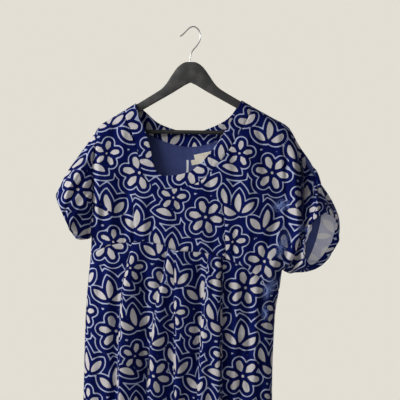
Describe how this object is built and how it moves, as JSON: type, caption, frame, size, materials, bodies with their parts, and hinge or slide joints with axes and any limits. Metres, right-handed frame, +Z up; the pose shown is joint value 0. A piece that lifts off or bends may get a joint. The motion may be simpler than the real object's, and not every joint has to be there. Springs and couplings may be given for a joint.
{
  "type": "velvet dress on a coat hanger",
  "caption": "Short-sleeved velvet dress with a scoop neck, a high waist seam and a pleated skirt, hung on a black coat hanger with a trouser bar.",
  "frame": {"origin": "inside top of the hanger's hook, where it hangs on a rail or a pin", "axes": "+Z up, +X to the right as the dress is seen from its front, the front faces -Y"},
  "size_m": [0.6593, 0.112, 1.148],
  "materials": {
    "velvet": "cotton velvet, navy with pale lilac-grey petals",
    "lining": "plain navy woven lining",
    "label": "cream woven label, bare",
    "ribbon": "white satin ribbon",
    "hanger": "matte black paint",
    "steel": "bright drawn wire"
  },
  "bodies": {
    "root": {"front_bodice": "velvet", "back_bodice": "velvet", "front_neckband": "velvet", "back_neckband": "velvet", "front_skirt": "velvet", "back_skirt": "velvet", "left_sleeve": "velvet", "right_sleeve": "velvet", "back_lining": "lining", "left_sleeve_lining": "lining", "right_sleeve_lining": "lining", "label": "label", "size_tab": "label", "ribbon_loop": "ribbon", "hanger_arms": "hanger", "hanger_bar": "hanger", "hook": "steel"}
  },
  "joints": []
}
